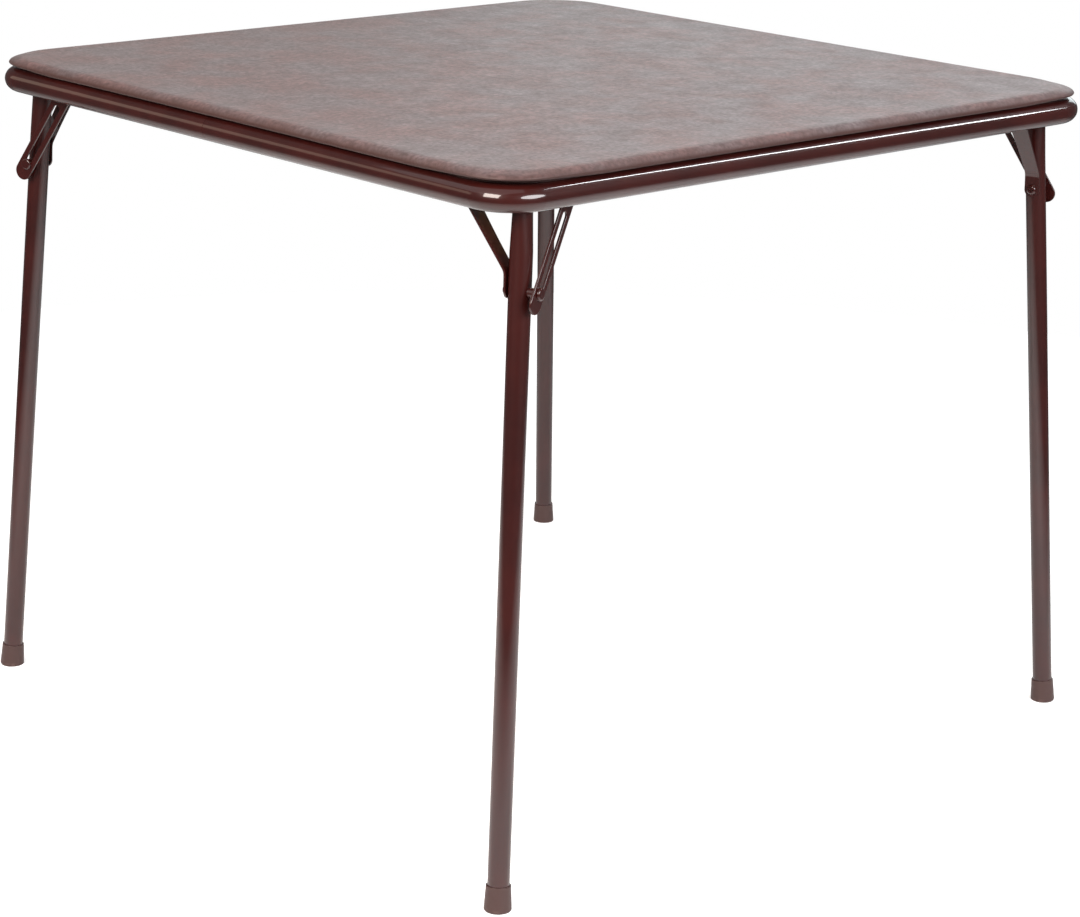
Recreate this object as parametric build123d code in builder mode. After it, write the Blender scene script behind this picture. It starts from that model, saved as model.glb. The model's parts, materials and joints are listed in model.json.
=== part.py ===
from build123d import *
import math
import os

# Folding card table, modelled standing open, in millimetres.
# The origin is on the floor under the middle of the top, with +Z up.
# Corner 1 is at -X -Y, and the others follow anticlockwise seen from above.
# Each leg folds almost along one side of the frame, so the four legs nest like a pinwheel.

# Overall
frame_side = 850.0
table_height = 706.0
corner_count = 4
corner_turn = 360.0 / corner_count
head_round_share = 0.7
pad_corner_share = 0.15

# Frame tube, bent from one length and butted over an inner sleeve
frame_tube_diameter = 25.4
frame_tube_wall = 1.2
frame_bend_radius = 37.0
seam_distance = 27.0
seam_gap = 0.4
sleeve_length = 64.0
sleeve_wall = 1.5
sleeve_clearance = 0.05

# Padded top: fibreboard, thin foam and a vinyl cover turned under the edge
pad_inset = 13.0
pad_corner_radius = 46.0
pad_side_draw = 1.5
pad_crown = 2.0
crown_border = 14.0
crown_run = 230.0
pad_top_round = 7.4
pad_bottom_round = 2.6
vinyl_thickness = 0.8
foam_thickness = 6.0
board_thickness = 4.0
hem_width = 24.0

# Leg tube, pressed a little flat on both sides at its top
leg_diameter = 21.6
leg_wall = 1.0
leg_inset_along = 54.7
leg_inset_across = 36.4
leg_splay_angle = 4.6
leg_side_lean_angle = 1.65
leg_fold_angle = 94.0
fold_skew_angle = 18.0
press_depth = 2.0
press_bulge = 0.7
press_start_drop = 52.0
press_end_drop = 18.0
leg_top_rise = 6.5
leg_end_radius = 11.8

# Hinge through the leg, the brace and the bracket
hinge_drop = 1.7
hinge_rod_diameter = 6.0
hinge_running_clearance = 0.06
hinge_rod_entry = 20.0
rod_head_diameter = 10.0
rod_head_height = 2.2
side_clearance = 0.3

# Brace strap, flat on the leg below and spread out along the hinge above
strap_thickness = 2.0
strap_lower_radius = 8.2
strap_upper_radius = 10.8
strap_waist = 2.4
strap_bend_drop = 70.0
strap_tab_drop = 13.0
strap_bend_radius = 12.0
brace_spread = 52.0

# Through bolt with its spacer
bolt_drop = 88.0
bolt_diameter = 6.0
bolt_head_diameter = 10.6
bolt_head_height = 3.0
recess_width = 1.4
recess_length = 6.0
recess_depth = 1.4
spacer_diameter = 9.4

# Slotted lock link with the guide nut that slides in it
link_thickness = 2.2
link_width = 20.0
link_edge_round = 0.6
link_standoff = 21.0
link_pivot_reach = 50.0
link_pivot_drop = 2.2
link_tail = 10.0
slot_width = 7.6
slot_spare = 13.0
nut_clearance = 0.2
nut_flange_diameter = 12.2
nut_flange_height = 2.6
link_rivet_diameter = 6.0
link_rivet_head_diameter = 11.0
link_rivet_head_height = 1.8

# Corner bracket under the board, with ears turned down for the hinges
bracket_thickness = 2.0
bracket_reach = 142.0
bracket_nose = 30.0
bracket_nose_round = 8.0
ear_radius = 9.0
leg_ear_gap = 0.5

# Clips at the middle of each side
clip_width = 36.0
clip_reach = 54.0
clip_corner_round = 5.0

# Screws that hold the board from below
screw_diameter = 4.0
screw_head_diameter = 8.0
screw_head_height = 2.2
screw_bite = 3.2
screw_recess_width = 1.1
screw_recess_length = 4.6
screw_recess_depth = 1.2
corner_screw_inset = 40.0
middle_screw_inset_along = 81.0
middle_screw_inset_across = 68.0
far_screw_inset_along = 46.0
far_screw_inset_across = 121.0
clip_screw_inset = 44.0

# Foot cap
cap_height = 25.0
cap_rim_diameter = 24.2
cap_foot_diameter = 27.0
cap_rim_round = 0.6
cap_foot_round = 3.0
cap_floor = 4.0
cap_fit = 0.05
cap_sink = 1.6

# Heights worked out from the top down
half_side = frame_side / 2
pad_half = half_side - pad_inset
tube_radius = frame_tube_diameter / 2
leg_radius = leg_diameter / 2
tube_line = half_side - tube_radius
frame_top = table_height - (2 * vinyl_thickness + foam_thickness + board_thickness)
frame_middle = frame_top - tube_radius
board_bottom = frame_top + vinyl_thickness
board_top = board_bottom + board_thickness
pad_core_top = table_height - vinyl_thickness
hinge_height = frame_middle - hinge_drop
bracket_bottom = frame_top - bracket_thickness
bracket_rise = bracket_bottom - hinge_height


def turned(point, corner):
    """A point or direction of corner 1 carried round to another corner."""
    return Vector(*point).rotate(Axis.Z, corner_turn * corner)


# Fold plane of each corner: X along the fold, Y up, Z towards the link side
skew = math.radians(fold_skew_angle)
fold_direction = (math.cos(skew), math.sin(skew), 0)
link_side = (math.sin(skew), -math.cos(skew), 0)
hinge_place = (leg_inset_along - half_side, leg_inset_across - half_side, hinge_height)
fold_planes = [
    Plane(
        origin=turned(hinge_place, corner),
        x_dir=turned(fold_direction, corner),
        z_dir=turned(link_side, corner),
    )
    for corner in range(corner_count)
]
fold_plane = fold_planes[0]

# The leg's centre line leans outwards against the fold, and a little towards the link side
splay_slope = math.tan(math.radians(leg_splay_angle))
lean_slope = math.tan(math.radians(leg_side_lean_angle))


def on_leg(drop, along=0.0, side=0.0):
    """Place on the leg's centre line at a drop below the hinge, in the fold plane's directions."""
    local = Vector(along - splay_slope * drop, -drop, side + lean_slope * drop)
    return fold_plane.from_local_coords(local)


leg_line = on_leg(0) - on_leg(hinge_height)
leg_up = leg_line.normalized()
lean_factor = leg_line.length / hinge_height
leg_side = leg_radius * lean_factor
strap_direction = Vector(*fold_direction)


def leg_plane(drop, along=0.0, side=0.0):
    """Plane square to the leg, its Z pointing up the leg."""
    return Plane(origin=on_leg(drop, along, side), x_dir=strap_direction, z_dir=leg_up)


def spot_plane(spot, side, facing=1):
    """Plane square to the hinge line at a spot of the fold plane.

    It faces the link side, or with a facing of -1 the brace side.
    """
    return Plane(
        origin=fold_plane.from_local_coords((spot[0], spot[1], side)),
        x_dir=strap_direction,
        z_dir=Vector(*link_side) * facing,
    )


def domed_head(plane, diameter, height):
    """Head that stands on a plane and is rounded at its far rim, for the part in hand."""
    with BuildSketch(plane) as head:
        Circle(diameter / 2)
    extrude(head.sketch, amount=height)
    rims = edges(Select.LAST).filter_by(GeomType.CIRCLE)
    fillet(rims.sort_by_distance(plane.origin)[-1], radius=height * head_round_share)


# Places of the linkage in the fold plane
bolt_spot = (-splay_slope * bolt_drop, -bolt_drop)
link_spot = (link_pivot_reach, -link_pivot_drop)
fold = math.radians(leg_fold_angle)
bolt_spot_folded = (
    bolt_spot[0] * math.cos(fold) - bolt_spot[1] * math.sin(fold),
    bolt_spot[0] * math.sin(fold) + bolt_spot[1] * math.cos(fold),
)
link_open_length = math.dist(link_spot, bolt_spot)
link_folded_length = math.dist(link_spot, bolt_spot_folded)
link_run = (Vector(*bolt_spot) - Vector(*link_spot)).normalized()
link_inner = link_standoff
link_outer = link_standoff + link_thickness
link_plane = Plane(
    origin=fold_plane.from_local_coords((link_spot[0], link_spot[1], link_inner)),
    x_dir=fold_plane.from_local_coords(link_run + Vector(*link_spot))
    - fold_plane.from_local_coords(Vector(*link_spot)),
    z_dir=link_side,
)
bolt_side = lean_slope * bolt_drop
leg_ear_side = press_depth - leg_radius - leg_ear_gap - bracket_thickness
brace_ear_side = -brace_spread - strap_thickness / 2 - side_clearance - bracket_thickness
link_ear_side = link_inner - side_clearance - bracket_thickness
hinge_hole_radius = hinge_rod_diameter / 2 + hinge_running_clearance


# Screw places of one corner, then of the whole frame
corner_screws = [
    (corner_screw_inset - half_side, corner_screw_inset - half_side, 0),
    (middle_screw_inset_along - half_side, middle_screw_inset_across - half_side, 0),
    (far_screw_inset_along - half_side, far_screw_inset_across - half_side, 0),
]
clip_screws = [(0, clip_screw_inset - half_side, 0)]
screw_places = [
    turned(place, corner)
    for corner in range(corner_count)
    for place in corner_screws + clip_screws
]


def save(piece, name):
    """Label a finished piece and write it under its own name."""
    piece.label = name
    export_step(piece, f"parts/{name}.step")


def save_round(piece, name):
    """Write one copy of a corner 1 piece for each corner."""
    for corner in range(corner_count):
        copy = piece.rotate(Axis.Z, corner_turn * corner)
        save(copy, f"{name}_{corner + 1}")


os.makedirs("parts", exist_ok=True)

# Frame tube: an open ring that starts and ends at the butt joint on the -X side
seam_start = (-tube_line, seam_distance, frame_middle)
seam_end = (-tube_line, seam_distance + seam_gap, frame_middle)
ring_corners = [
    seam_start,
    (-tube_line, -tube_line, frame_middle),
    (tube_line, -tube_line, frame_middle),
    (tube_line, tube_line, frame_middle),
    (-tube_line, tube_line, frame_middle),
    seam_end,
]
seam_plane = Plane(origin=seam_start, x_dir=(1, 0, 0), z_dir=(0, -1, 0))
with BuildPart() as tube_envelope:
    with BuildLine() as ring_line:
        FilletPolyline(*ring_corners, radius=frame_bend_radius)
    with BuildSketch(seam_plane):
        Circle(tube_radius)
    sweep(path=ring_line.line)

with BuildPart() as frame_tube:
    with BuildLine() as bore_line:
        FilletPolyline(*ring_corners, radius=frame_bend_radius)
    with BuildSketch(seam_plane):
        Circle(tube_radius)
        Circle(tube_radius - frame_tube_wall, mode=Mode.SUBTRACT)
    sweep(path=bore_line.line)
    # Holes in the inner wall for the hinge rods
    with BuildSketch(*fold_planes):
        Circle(hinge_rod_diameter / 2)
    extrude(amount=hinge_rod_entry, mode=Mode.SUBTRACT)
save(frame_tube.part, "frame_tube")

# Sleeve inside the butt joint
with BuildPart() as frame_sleeve:
    with BuildSketch(seam_plane.offset(-sleeve_length / 2)):
        Circle(tube_radius - frame_tube_wall - sleeve_clearance)
        Circle(tube_radius - frame_tube_wall - sleeve_wall, mode=Mode.SUBTRACT)
    extrude(amount=sleeve_length)
save(frame_sleeve.part, "frame_sleeve")


# Padded top
def pad_outline(inset, height):
    """Square at a height, with its sides drawn in between rounded corners."""
    half = pad_half - inset
    mid = half - pad_side_draw
    with BuildSketch(Plane.XY.offset(height)) as outline:
        with BuildLine():
            ThreePointArc((-half, -half), (0, -mid), (half, -half))
            ThreePointArc((half, -half), (mid, 0), (half, half))
            ThreePointArc((half, half), (0, mid), (-half, half))
            ThreePointArc((-half, half), (-mid, 0), (-half, -half))
        make_face()
        fillet(vertices(), radius=pad_corner_radius - inset * pad_corner_share)
    return outline.sketch


def pad_block(inset, bottom, top):
    """Pad with rolled edges and a low crown, for the part in hand."""
    extrude(pad_outline(inset, bottom), amount=top - bottom)
    fillet(faces().sort_by(Axis.Z)[-1].edges(), radius=pad_top_round - inset)
    fillet(faces().sort_by(Axis.Z)[0].edges(), radius=pad_bottom_round - inset)
    crown = [pad_outline(crown_border, top), pad_outline(crown_run, top + pad_crown)]
    loft(crown, ruled=True)


with BuildPart() as pad_core:
    pad_block(vinyl_thickness, board_bottom, pad_core_top)

with BuildPart() as panel_board:
    add(pad_core.part)
    split(bisect_by=Plane.XY.offset(board_top), keep=Keep.BOTTOM)
    with BuildSketch(Plane.XY.offset(board_bottom)):
        with Locations(*screw_places):
            Circle(screw_diameter / 2)
    extrude(amount=screw_bite, mode=Mode.SUBTRACT)
save(panel_board.part, "panel_board")

with BuildPart() as foam_pad:
    add(pad_core.part)
    split(bisect_by=Plane.XY.offset(board_top), keep=Keep.TOP)
save(foam_pad.part, "foam_pad")

# The cover wraps the foam and the board, and its hem is turned under the board
with BuildPart() as vinyl_cover:
    pad_block(0, frame_top, table_height)
    add(pad_core.part, mode=Mode.SUBTRACT)
    extrude(pad_outline(hem_width, frame_top), amount=vinyl_thickness, mode=Mode.SUBTRACT)
    with BuildSketch(Plane.XY.offset(frame_top)):
        with Locations(*screw_places):
            Circle(screw_diameter / 2)
    extrude(amount=vinyl_thickness, mode=Mode.SUBTRACT)
save(vinyl_cover.part, "vinyl_cover")


# Corner bracket: a gusset fitted to the tube, with three ears
def ear(spot, side):
    """Ear turned down from the gusset to a hole at a spot of the fold plane."""
    with BuildSketch(fold_plane.offset(side)) as outline:
        with Locations(spot):
            Circle(ear_radius)
        with Locations((spot[0], (spot[1] + bracket_rise) / 2)):
            Rectangle(2 * ear_radius, bracket_rise - spot[1])
        with Locations(spot):
            Circle(hinge_rod_diameter / 2, mode=Mode.SUBTRACT)
    extrude(outline.sketch, amount=bracket_thickness)


bracket_near = tube_radius - half_side
bracket_nose_end = bracket_near + bracket_nose
bracket_far = bracket_reach - half_side
gusset_corners = [
    (bracket_near, bracket_near),
    (bracket_far, bracket_near),
    (bracket_far, bracket_nose_end),
    (bracket_nose_end, bracket_far),
    (bracket_near, bracket_far),
]
with BuildPart() as corner_bracket:
    with BuildSketch(Plane.XY.offset(bracket_bottom)):
        with BuildLine():
            Polyline(*gusset_corners, close=True)
        make_face()
        fillet(vertices().sort_by(Axis.X)[-1], radius=bracket_nose_round)
        fillet(vertices().sort_by(Axis.Y)[-1], radius=bracket_nose_round)
        RectangleRounded(2 * tube_line, 2 * tube_line, frame_bend_radius, mode=Mode.INTERSECT)
        with Locations(*[turned(place, 0) for place in corner_screws]):
            Circle(screw_diameter / 2, mode=Mode.SUBTRACT)
    extrude(amount=bracket_thickness)
    add(tube_envelope.part, mode=Mode.SUBTRACT)
    ear((0, 0), leg_ear_side)
    ear((0, 0), brace_ear_side)
    ear(link_spot, link_ear_side)
save_round(corner_bracket.part, "corner_bracket")

# Clip at the middle of a side
with BuildPart() as panel_clip:
    with BuildSketch(Plane.XY.offset(bracket_bottom)):
        with Locations((0, (tube_radius + clip_reach) / 2 - half_side)):
            RectangleRounded(clip_width, clip_reach - tube_radius, clip_corner_round)
        with Locations(*clip_screws):
            Circle(screw_diameter / 2, mode=Mode.SUBTRACT)
    extrude(amount=bracket_thickness)
    add(tube_envelope.part, mode=Mode.SUBTRACT)
save_round(panel_clip.part, "panel_clip")

# Screws up through the brackets and clips into the board, with cross recesses in domed heads
screw_seat = Plane.XY.offset(bracket_bottom)
with BuildPart() as panel_screws:
    with BuildSketch(screw_seat):
        with Locations(*screw_places):
            Circle(screw_diameter / 2)
    extrude(amount=bracket_thickness + vinyl_thickness + screw_bite)
    with BuildSketch(screw_seat):
        with Locations(*screw_places):
            Circle(screw_head_diameter / 2)
    extrude(amount=-screw_head_height)
    head_rims = faces().group_by(Axis.Z)[0].edges()
    fillet(head_rims, radius=screw_head_height * head_round_share)
    with BuildSketch(screw_seat.offset(-screw_head_height)):
        with Locations(*screw_places):
            Rectangle(screw_recess_length, screw_recess_width)
            Rectangle(screw_recess_width, screw_recess_length)
    extrude(amount=screw_recess_depth, mode=Mode.SUBTRACT)
save(panel_screws.part, "panel_screws")

# Hinge rod from inside the frame tube, through leg, ear and brace, to its head
with BuildPart() as hinge_rod:
    with BuildSketch(fold_plane.offset(brace_ear_side)):
        Circle(hinge_rod_diameter / 2)
    extrude(amount=hinge_rod_entry - brace_ear_side)
    domed_head(spot_plane((0, 0), brace_ear_side, -1), rod_head_diameter, rod_head_height)
save_round(hinge_rod.part, "hinge_rod")

# Rivet that carries the lock link on its ear
with BuildPart() as link_rivet:
    with BuildSketch(spot_plane(link_spot, link_ear_side)):
        Circle(link_rivet_diameter / 2)
    extrude(amount=link_outer + side_clearance - link_ear_side)
    domed_head(
        spot_plane(link_spot, link_ear_side, -1),
        link_rivet_head_diameter,
        link_rivet_head_height,
    )
    domed_head(
        spot_plane(link_spot, link_outer + side_clearance),
        link_rivet_head_diameter,
        link_rivet_head_height,
    )
save_round(link_rivet.part, "link_rivet")

# Leg tube: round below, pressed above, rounded at its end and drilled for rod and bolt
cap_seat = cap_floor - cap_sink
tube_end_drop = hinge_height - cap_seat / lean_factor
pressed_half_width = leg_radius + press_bulge
pressed_half_depth = leg_radius - press_depth


def leg_run(inset, mode):
    """Run of the leg whose surface lies inside the tube's by an inset, for the part in hand."""
    with BuildSketch(leg_plane(tube_end_drop)) as foot_end:
        Circle(leg_radius - inset)
    extrude(foot_end.sketch, amount=(tube_end_drop - press_start_drop) * lean_factor, mode=mode)
    with BuildSketch(leg_plane(press_start_drop)) as press_start:
        Circle(leg_radius - inset)
    with BuildSketch(leg_plane(press_end_drop)) as press_end:
        Ellipse(pressed_half_width - inset, pressed_half_depth - inset)
    loft([press_start.sketch, press_end.sketch], mode=mode)
    extrude(press_end.sketch, amount=(press_end_drop + leg_top_rise) * lean_factor, mode=mode)


with BuildPart() as leg_tube:
    leg_run(0, Mode.ADD)
    leg_run(leg_wall, Mode.SUBTRACT)
    with BuildSketch(fold_plane):
        with Locations((0, leg_diameter / 2)):
            Rectangle(2 * leg_diameter, leg_diameter)
        Circle(leg_end_radius, mode=Mode.SUBTRACT)
    extrude(amount=leg_diameter, both=True, mode=Mode.SUBTRACT)
    with BuildSketch(fold_plane):
        Circle(hinge_hole_radius)
        with Locations(bolt_spot):
            Circle(bolt_diameter / 2)
    extrude(amount=leg_diameter, both=True, mode=Mode.SUBTRACT)
save_round(leg_tube.part, "leg_tube")

# Foot cap, pushed over the leg's end and moulded flat where it meets the floor
foot_place = on_leg(hinge_height)
cap_normal = leg_up.cross(strap_direction).normalized()
cap_plane = Plane(origin=foot_place, x_dir=leg_up.cross(cap_normal), z_dir=cap_normal)
cap_bore = leg_radius + cap_fit
cap_profile = [
    (0, -cap_sink),
    (cap_foot_diameter / 2, -cap_sink),
    (cap_rim_diameter / 2, cap_height),
    (cap_bore, cap_height),
    (cap_bore, cap_seat),
    (0, cap_seat),
]
with BuildPart() as foot_cap:
    with BuildSketch(cap_plane):
        with BuildLine():
            Polyline(*cap_profile, close=True)
        make_face()
        fillet(vertices().sort_by(Axis.X)[-1], radius=cap_foot_round)
        fillet(vertices().group_by(Axis.Y)[-1].sort_by(Axis.X)[-1], radius=cap_rim_round)
    revolve(axis=Axis(foot_place, leg_up))
    split(bisect_by=Plane.XY, keep=Keep.TOP)
save_round(foot_cap.part, "foot_cap")

# Brace strap: along the leg, then out to its own place on the hinge rod
strap_plane = Plane(
    origin=fold_plane.origin,
    x_dir=Vector(*link_side),
    z_dir=-strap_direction,
)
strap_end_drop = bolt_drop + strap_lower_radius


def strap_middle(drop):
    """Middle of the strap's thickness where it lies against the leg."""
    return lean_slope * drop - leg_side - strap_thickness / 2


strap_route = [
    (strap_middle(strap_end_drop), -strap_end_drop),
    (strap_middle(strap_bend_drop), -strap_bend_drop),
    (-brace_spread, -strap_tab_drop),
    (-brace_spread, strap_upper_radius),
]
# Outline of the strap, with the edge on the fold's side hollowed
strap_foot = (bolt_spot[0], -strap_end_drop)
strap_lower_back = (bolt_spot[0] - strap_lower_radius, -bolt_drop)
strap_lower_front = (bolt_spot[0] + strap_lower_radius, -bolt_drop)
strap_upper_back = (-strap_upper_radius, 0)
strap_upper_front = (strap_upper_radius, 0)
strap_hollow = (
    (strap_lower_front[0] + strap_upper_front[0]) / 2 - strap_waist,
    -bolt_drop / 2,
)
with BuildPart() as brace_strap:
    with BuildSketch(strap_plane):
        with BuildLine():
            FilletPolyline(*strap_route, radius=strap_bend_radius)
        trace(line_width=strap_thickness)
    extrude(amount=leg_diameter, both=True)
    with BuildSketch(fold_plane):
        with BuildLine():
            ThreePointArc(strap_lower_back, strap_foot, strap_lower_front)
            ThreePointArc(strap_lower_front, strap_hollow, strap_upper_front)
            ThreePointArc(strap_upper_front, (0, strap_upper_radius), strap_upper_back)
            Line(strap_upper_back, strap_lower_back)
        make_face()
    extrude(amount=-brace_spread - leg_diameter, mode=Mode.INTERSECT)
    with BuildSketch(fold_plane):
        Circle(hinge_hole_radius)
        with Locations(bolt_spot):
            Circle(bolt_diameter / 2)
    extrude(amount=-brace_spread - leg_diameter, mode=Mode.SUBTRACT)
save_round(brace_strap.part, "brace_strap")

# Through bolt, with a cross recess in its head on the brace
strap_outer = bolt_side - leg_side - strap_thickness
head_seat = strap_outer - lean_slope * bolt_head_diameter / 2
bolt_tip = link_inner - side_clearance
with BuildPart() as leg_bolt:
    with BuildSketch(spot_plane(bolt_spot, head_seat)):
        Circle(bolt_diameter / 2)
    extrude(amount=bolt_tip - head_seat)
    domed_head(spot_plane(bolt_spot, head_seat, -1), bolt_head_diameter, bolt_head_height)
    with BuildSketch(spot_plane(bolt_spot, head_seat - bolt_head_height)):
        Rectangle(recess_length, recess_width)
        Rectangle(recess_width, recess_length)
    extrude(amount=recess_depth, mode=Mode.SUBTRACT)
save_round(leg_bolt.part, "leg_bolt")

# Spacer between leg and link, coped to the leg's round side
with BuildPart() as bolt_spacer:
    with BuildSketch(spot_plane(bolt_spot, bolt_side)):
        Circle(spacer_diameter / 2)
        Circle(bolt_diameter / 2, mode=Mode.SUBTRACT)
    extrude(amount=bolt_tip - bolt_side)
    with BuildSketch(leg_plane(bolt_drop + spacer_diameter)):
        Circle(leg_radius)
    extrude(amount=2 * spacer_diameter, mode=Mode.SUBTRACT)
save_round(bolt_spacer.part, "bolt_spacer")

# Lock link: a strip with round ends, hung on its rivet, with a long slot for the guide nut
link_length = link_open_length + link_tail
slot_start = link_folded_length - slot_spare
with BuildPart() as lock_link:
    with BuildSketch(link_plane):
        with Locations((link_length / 2, 0)):
            SlotCenterToCenter(link_length, link_width)
        with Locations(((slot_start + link_open_length) / 2, 0)):
            SlotCenterToCenter(link_open_length - slot_start, slot_width, mode=Mode.SUBTRACT)
    extrude(amount=link_thickness)
    fillet(faces().filter_by(link_plane).edges(), radius=link_edge_round)
    with BuildSketch(link_plane):
        Circle(link_rivet_diameter / 2 + hinge_running_clearance)
    extrude(amount=link_thickness, mode=Mode.SUBTRACT)
save_round(lock_link.part, "lock_link")

# Guide nut: a collar in the slot and a flange outside the link
with BuildPart() as guide_nut:
    with BuildSketch(spot_plane(bolt_spot, link_inner)):
        Circle(slot_width / 2 - nut_clearance)
    extrude(amount=link_thickness + side_clearance)
    domed_head(
        spot_plane(bolt_spot, link_outer + side_clearance),
        nut_flange_diameter,
        nut_flange_height,
    )
save_round(guide_nut.part, "guide_nut")
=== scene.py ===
"""Looks of a square folding card table with a padded top and four folding legs of steel tube."""

import json
import logging
import math
import random
from dataclasses import dataclass, field
from enum import Enum

import bmesh
import bpy
from mathutils import Matrix, Vector, noise


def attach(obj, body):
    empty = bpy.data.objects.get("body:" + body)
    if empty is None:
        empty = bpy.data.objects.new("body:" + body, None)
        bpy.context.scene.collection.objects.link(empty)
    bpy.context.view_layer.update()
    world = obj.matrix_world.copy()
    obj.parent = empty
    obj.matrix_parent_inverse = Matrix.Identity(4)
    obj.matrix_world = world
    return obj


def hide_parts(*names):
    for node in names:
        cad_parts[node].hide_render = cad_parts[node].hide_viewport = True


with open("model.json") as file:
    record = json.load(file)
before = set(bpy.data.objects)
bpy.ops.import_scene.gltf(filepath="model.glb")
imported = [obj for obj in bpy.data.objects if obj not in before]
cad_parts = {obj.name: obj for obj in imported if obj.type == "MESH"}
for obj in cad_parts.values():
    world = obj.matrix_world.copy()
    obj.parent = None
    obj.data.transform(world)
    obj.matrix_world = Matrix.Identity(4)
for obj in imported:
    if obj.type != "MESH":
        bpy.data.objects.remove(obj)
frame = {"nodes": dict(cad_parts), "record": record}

log = logging.getLogger("card_table")

MILLIMETRE = 0.001
CORNERS = 4

# The wave texture runs through this many radians for each metre at a scale of one
WAVE_RADIANS = 20

# How the vinyl behaves in the cloth simulation: thin, stiff to pull and slack to bend
VINYL_CLOTH = {
    "quality": 6,
    "mass": 0.4,
    "tension_stiffness": 12,
    "compression_stiffness": 12,
    "shear_stiffness": 6,
    "bending_stiffness": 0.4,
    "use_pressure": True,
    "uniform_pressure_force": 3,
    "shrink_min": 0.0,
}


def mm(value: float) -> float:
    """Return a length in millimetres as metres."""
    return value * MILLIMETRE


# Sizes that pieces share: the frame tube's middle line, the hem's height and the staples' spacing
TUBE_LINE = mm(412.3)
HEM_HEIGHT = mm(694.4)
STAPLE_PITCH = mm(45)


def linear(hex_colour: str) -> tuple[float, float, float, float]:
    """Turn an sRGB hex colour to the linear values that shaders take.

    Args:
        hex_colour: Six hex digits, as in "a2989b".

    Returns:
        Red, green, blue and an alpha of one.
    """
    steps = [int(hex_colour[place:place + 2], 16) / 255 for place in (0, 2, 4)]
    shown = [step / 12.92 if step <= 0.04045 else ((step + 0.055) / 1.055) ** 2.4 for step in steps]
    return (*shown, 1.0)


def add_node(
    tree: bpy.types.NodeTree,
    kind: str,
    inputs: dict[str | int, object] | None = None,
    **settings: object,
) -> bpy.types.Node:
    """Add a node with its settings, its input values and its links.

    Args:
        tree: Node tree that gets the node.
        kind: Name of the node type.
        inputs: Value or source socket for each named or numbered input.
        settings: Attributes of the node itself.

    Returns:
        The new node.
    """
    node = tree.nodes.new(kind)
    for name, value in settings.items():
        setattr(node, name, value)
    for key, value in (inputs or {}).items():
        if isinstance(value, bpy.types.NodeSocket):
            tree.links.new(value, node.inputs[key])
        else:
            node.inputs[key].default_value = value
    return node


class Slot(Enum):
    """Material slots of the record that the pieces take their finish from."""

    VINYL = "vinyl"
    FOAM = "foam"
    BOARD = "board"
    ENAMEL = "frame_enamel"
    STEEL = "bare_steel"
    ZINC = "zinc"
    FOOT = "foot_plastic"


@dataclass(frozen=True)
class Layer:
    """Noise of one grain, and the values of it that are carried to 0 and 1.

    The grain is the width of a patch in metres, the detail is the octaves of finer noise, and the
    stretch is the share of the frequency along each axis.
    """

    grain: float
    detail: float = 3.0
    low: float = 0.35
    high: float = 0.65
    stretch: tuple[float, float, float] = (1, 1, 1)


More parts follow.
